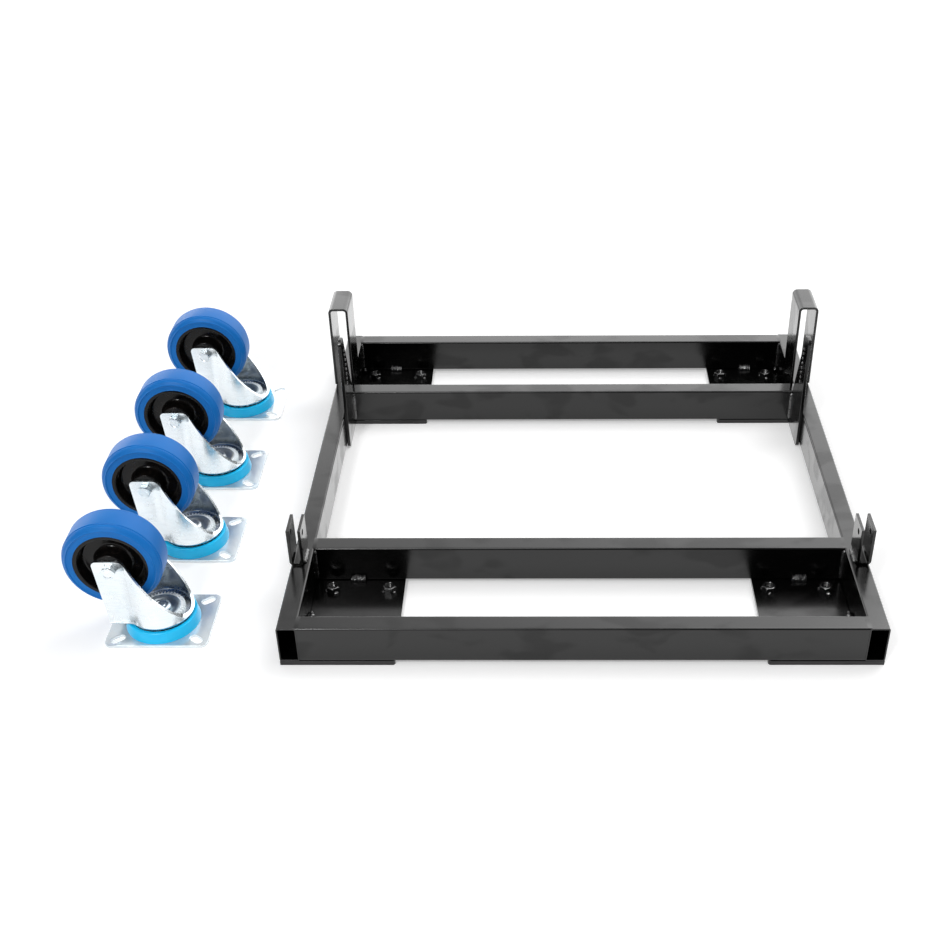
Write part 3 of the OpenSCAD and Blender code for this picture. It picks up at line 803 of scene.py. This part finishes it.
lump = {
    "clevis": (5.5, 9.0, 13.5, 17.0, 21.5),  # behind a clevis's front edge
    "front": ((40.0, 2.6), (43.5, 3.0), (47.5, 2.5)),  # (behind the front tube, radius)
    "rear": ((8.0, 2.6), (5.0, 2.2)),  # (before the back tube, radius)
    "plate": (-6.5, -3.0, 0.8, 4.4),  # from the middle of a plate bead
    "plateRadius": 2.3,
}


def lumpShape(place, size):
    # knob of weld: a ball whose radius is rippled by its two angles, lying half in the metal
    u, v = ballAngles(11, 18)
    radius = size * (1 + 0.12 * np.sin(3 * v + place[0]) * np.cos(2 * u) + 0.07 * np.cos(4 * v - place[1]))
    local = np.stack([radius * np.cos(v) * np.cos(u), radius * np.sin(v) * np.cos(u),
                      0.8 * radius * np.sin(u) + 0 * v], -1)
    local[[0, -1]] = local[[0, -1]].mean(1, keepdims=True)
    return local + place, gridFaces(11, 18, False)


def seamLumps():  # knobs at the feet of clevises and side tubes, and on the beads of the corner plates
    frontTube, backTube = nodeBox("cross_tube_front")[1][1], nodeBox("cross_tube_back")[0][1]
    secondTube = nodeBox("cross_tube_second")[0][1]
    pocket = [(frontTube + reach, size) for reach, size in lump["front"]]
    pocket += [(backTube - reach, size) for reach, size in lump["rear"]]
    lumps = []
    for side, name in sides:
        clevis, inner = nodeBox("clevis_" + name), innerFace(tubes[name], side)
        for n, reach in enumerate(lump["clevis"]):
            spot = (innerFace(clevis, side) - side * 0.6, clevis[0][1] + reach, tubeTop + 1.0)
            lumps.append(lumpShape(np.array(spot), 1.7 + 0.5 * np.sin(2.6 * n + side)))
        for n, (y, size) in enumerate(pocket):
            spot = (inner - side * (2.6 + 0.9 * (n % 2)), y, plateTop + 3.6)
            lumps.append(lumpShape(np.array(spot), size))
        for n, shift in enumerate(lump["plate"]):
            y = secondTube - 3.4 + 0.5 * np.sin(4.0 * n)
            spot = (middle + side * plateBead["reach"] + shift, y, plateTop + 3.2)
            lumps.append(lumpShape(np.array(spot), lump["plateRadius"]))
    return joined(lumps)


makePiece("weldLumps", *seamLumps(), "weld", "frame", (), 60)

nut = {
    "high": 6.8,
    "bore": 4.0,
    "pitch": 1.25,
    "depth": 0.45,
    "tack": 2.8,
    "reach": 231.0,  # from the frame's middle to a hole pattern's
    "front": 68.5,  # from the front plates' front edge to the pattern's middle
    "rear": 79.0,  # from the rear plates' back edge to the pattern's middle
    "pattern": (30.0, 40.0),  # half the spacing of the holes
}


def nutSpots():  # the middle of each welded nut, on the corner plates
    spots = []
    for end in ("front", "rear"):
        for side, name in sides:
            box = nodeBox(f"corner_plate_{end}_{name}")
            x = middle + side * nut["reach"]
            y = box[0][1] + nut["front"] if end == "front" else box[1][1] - nut["rear"]
            across, along = nut["pattern"]
            spots += [(x + a * across, y + b * along, plateTop) for a in (-1, 1) for b in (-1, 1)]
    return np.array(spots)


def nutShape(turn):
    top = nut["high"]
    rows = [(0, 0), (0, top - 0.8)] + [(0, z) for z in np.linspace(top - 0.6, top, 4)]
    rows += [(4.7, top), (4.1, top - 0.6)]
    outside = hexShape(rows, top, None, turn)
    hole = threaded(nut["bore"], 0.0, top - 0.7, nut["pitch"], -nut["depth"], hexagon["columns"])[::-1]
    return np.concatenate([outside, hole])


def tackShape(angle, size):
    # a small lump of weld at a nut's foot: a half ball whose radius is rippled by its two angles
    u, v = ballAngles(7, 16, 0)
    radius = size * (1 + 0.10 * np.sin(3 * v + 5 * angle) * np.sin(2 * u) + 0.06 * np.cos(5 * v - angle))
    local = np.stack([1.25 * radius * np.cos(v) * np.cos(u), radius * np.sin(v) * np.cos(u),
                      0.9 * radius * np.sin(u) + 0 * v], -1)
    c, s = np.cos(angle + np.pi / 2), np.sin(angle + np.pi / 2)
    x, y, z = local[..., 0], local[..., 1], local[..., 2]
    spun = np.stack([x * c - y * s, x * s + y * c, z], -1)
    out = np.array([np.cos(angle), np.sin(angle), 0]) * (hexagon["flats"] / 2 + 0.3)
    foot = spun[:1] * [0.01, 0.01, 1]
    return np.concatenate([foot, spun]) + out


def weldedNuts():  # nuts turned this way and that, with three tacks round the foot of each
    spots = nutSpots()
    turns = np.radians((np.arange(len(spots)) * 37) % 60)
    blocks = np.stack([nutShape(turn) + spot for turn, spot in zip(turns, spots)])
    parts = [repeated(blocks, gridFaces(blocks.shape[1], blocks.shape[2]))]
    for shift in (tau / 12, tau / 12 + tau / 3, tau / 12 + 2 * tau / 3):
        sizes = nut["tack"] * (0.85 + 0.15 * np.sin(7 * turns + shift))
        tacks = np.stack([tackShape(turn + shift, size) + spot
                          for turn, size, spot in zip(turns, sizes, spots)])
        parts.append(repeated(tacks, gridFaces(tacks.shape[1], tacks.shape[2], False)))
    return joined(parts)


makePiece("weldNuts", *weldedNuts(), "weld", "frame", ["weld_nuts"])

earTack = {"back": 19.5, "low": 83.0, "step": 6.5, "count": 8, "size": 1.3, "spread": (0.8, 1.0, 1.3)}


def earTacks():  # a row of small oval beads up the inner face of each ear
    u, v = ballAngles(9, 12)
    height = earTack["low"] + earTack["step"] * np.arange(earTack["count"])
    parts = []
    for side, name in sides:
        ear = nodeBox("ear_" + name)
        face = innerFace(ear, side)
        ball = np.stack([-side * np.cos(u) * np.cos(v), np.cos(u) * np.sin(v), np.sin(u) + 0 * v], -1)
        y = ear[0][1] + earTack["back"] + 0.3 * np.sin(height)
        spots = np.stack([face + 0 * height, y, height], -1)
        blocks = spots[:, None, None] + ball[None] * earTack["spread"] * earTack["size"]
        parts.append(repeated(blocks, gridFaces(9, 12, False)))
    return joined(parts)


makePiece("earTacks", *earTacks(), "weld", "frame")
print("welds and nuts made")

# the solids themselves, most of them hidden by the pieces above
pieceFinish = {"spacer": "steel", "bearing": "steel", "plate": "zincPlate", "kingpin": "zincPlate",
               "seal": "plastic", "race": "zincPlate", "fork": "forkZinc", "axle": "boltZinc",
               "tyre": "rubber", "rim": "nylon"}
for name, piece in nodes.items():
    if name.startswith("castor"):
        paint(piece, pieceFinish[name.split("_")[2]])
    else:
        paint(piece, "steel" if name == "swivel_balls" else "powder")
print("finishes applied")
